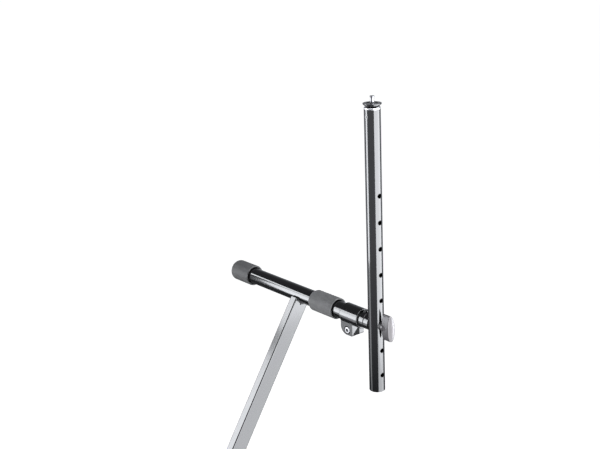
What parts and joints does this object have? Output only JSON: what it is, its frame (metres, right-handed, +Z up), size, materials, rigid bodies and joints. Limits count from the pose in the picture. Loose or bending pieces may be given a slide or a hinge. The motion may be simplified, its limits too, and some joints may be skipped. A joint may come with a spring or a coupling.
{
  "type": "music stand",
  "caption": "Folding stand frame: a rubber-gripped arm on a slanted leg, with a clamped, height-adjustable mast that ends in a headed stud for a music desk.",
  "frame": {"origin": "on the floor, in the plane of the main leg, straight below the pivot of the two legs; it is the centre of the bounding box's base", "axes": "+Z up; +X along the arm, from its rubber-capped end towards the mast and its knob; the front floor bar is at -Y and the arm is at +Y"},
  "size_m": [0.5286, 0.5246, 1.179],
  "materials": {
    "black_coat": "glossy black powder coat",
    "grey_rubber": "matt dark grey rubber",
    "black_plastic": "moulded black nylon",
    "grey_plastic": "moulded grey nylon, satin",
    "pale_plastic": "light grey moulded cap, satin",
    "zinc": "bright zinc-plated steel"
  },
  "bodies": {
    "frame": {"main_leg": "black_coat", "support_arm_tube": "black_coat", "arm_end_cap": "grey_rubber", "arm_sleeve": "grey_rubber", "clamp_collar": "black_coat", "clamp_liner": "black_plastic", "clamp_nut": "zinc", "front_floor_bar": "black_coat", "front_foot_left": "grey_rubber", "front_foot_right": "grey_rubber", "pivot_sleeve_leg": "zinc", "clutch_disc_leg": "black_plastic", "pivot_washer": "zinc", "pivot_bolt": "zinc"},
    "strut": {"rear_strut": "black_coat", "strut_end_plug": "black_plastic", "pivot_sleeve_strut": "zinc", "clutch_disc_strut": "black_plastic", "rear_floor_bar": "black_coat", "rear_foot_left": "grey_rubber", "rear_foot_right": "grey_rubber"},
    "pivot_knob": {"pivot_knob": "black_plastic", "pivot_knob_insert": "zinc"},
    "clamp_screw": {"clamp_screw": "zinc"},
    "spigot": {"adapter_spigot": "black_coat", "spigot_end_plug": "black_plastic"},
    "mast": {"swivel_head": "black_coat", "captive_nut": "zinc", "saddle_block": "black_coat", "mast_tube": "black_coat", "mast_top_plug": "zinc", "mast_bottom_plug": "black_plastic", "desk_stud": "zinc"},
    "lock_screw": {"head_lock_screw": "zinc"},
    "knob_washer": {"knob_washer": "black_plastic"},
    "mast_knob": {"knob_grip": "grey_plastic", "knob_face_cap": "pale_plastic", "knob_bolt": "zinc"},
    "lock_disc": {"stud_lock_disc": "black_coat"}
  },
  "joints": [
    {"name": "strut_fold", "type": "hinge", "parent": "frame", "child": "strut", "pos_m": [-0.025, 0, 0.3855], "axis": [-1, 0, 0], "range_deg": [0, 60]},
    {"name": "pivot_knob_turn", "type": "hinge", "parent": "frame", "child": "pivot_knob", "pos_m": [0, 0, 0.3855], "axis": [1, 0, 0], "continuous": true},
    {"name": "clamp_screw_turn", "type": "hinge", "parent": "frame", "child": "clamp_screw", "pos_m": [0.1515, 0.24034, 0.7217], "axis": [0, 1, 0], "continuous": true},
    {"name": "arm_slide", "type": "slide", "parent": "frame", "child": "spigot", "axis": [1, 0, 0], "range_m": [0, 0.06]},
    {"name": "mast_tilt", "type": "hinge", "parent": "spigot", "child": "mast", "pos_m": [0.216, 0.24034, 0.75], "axis": [1, 0, 0], "range_deg": [-90, 90]},
    {"name": "lock_screw_turn", "type": "hinge", "parent": "mast", "child": "lock_screw", "pos_m": [0.188, 0.24034, 0.764], "axis": [0, 0, 1], "continuous": true},
    {"name": "knob_travel", "type": "slide", "parent": "mast", "child": "knob_washer", "axis": [1, 0, 0], "range_m": [0, 0.0076]},
    {"name": "knob_turn", "type": "hinge", "parent": "knob_washer", "child": "mast_knob", "pos_m": [0.2346, 0.24034, 0.75], "axis": [1, 0, 0], "range_deg": [0, 2160]},
    {"name": "lock_disc_turn", "type": "hinge", "parent": "mast", "child": "lock_disc", "pos_m": [0.216, 0.24034, 1.1631], "axis": [0, 0, 1], "continuous": true}
  ],
  "couplings": [
    {"joint": "knob_travel", "follows": "knob_turn", "m_per_rad": 0.00019894}
  ]
}
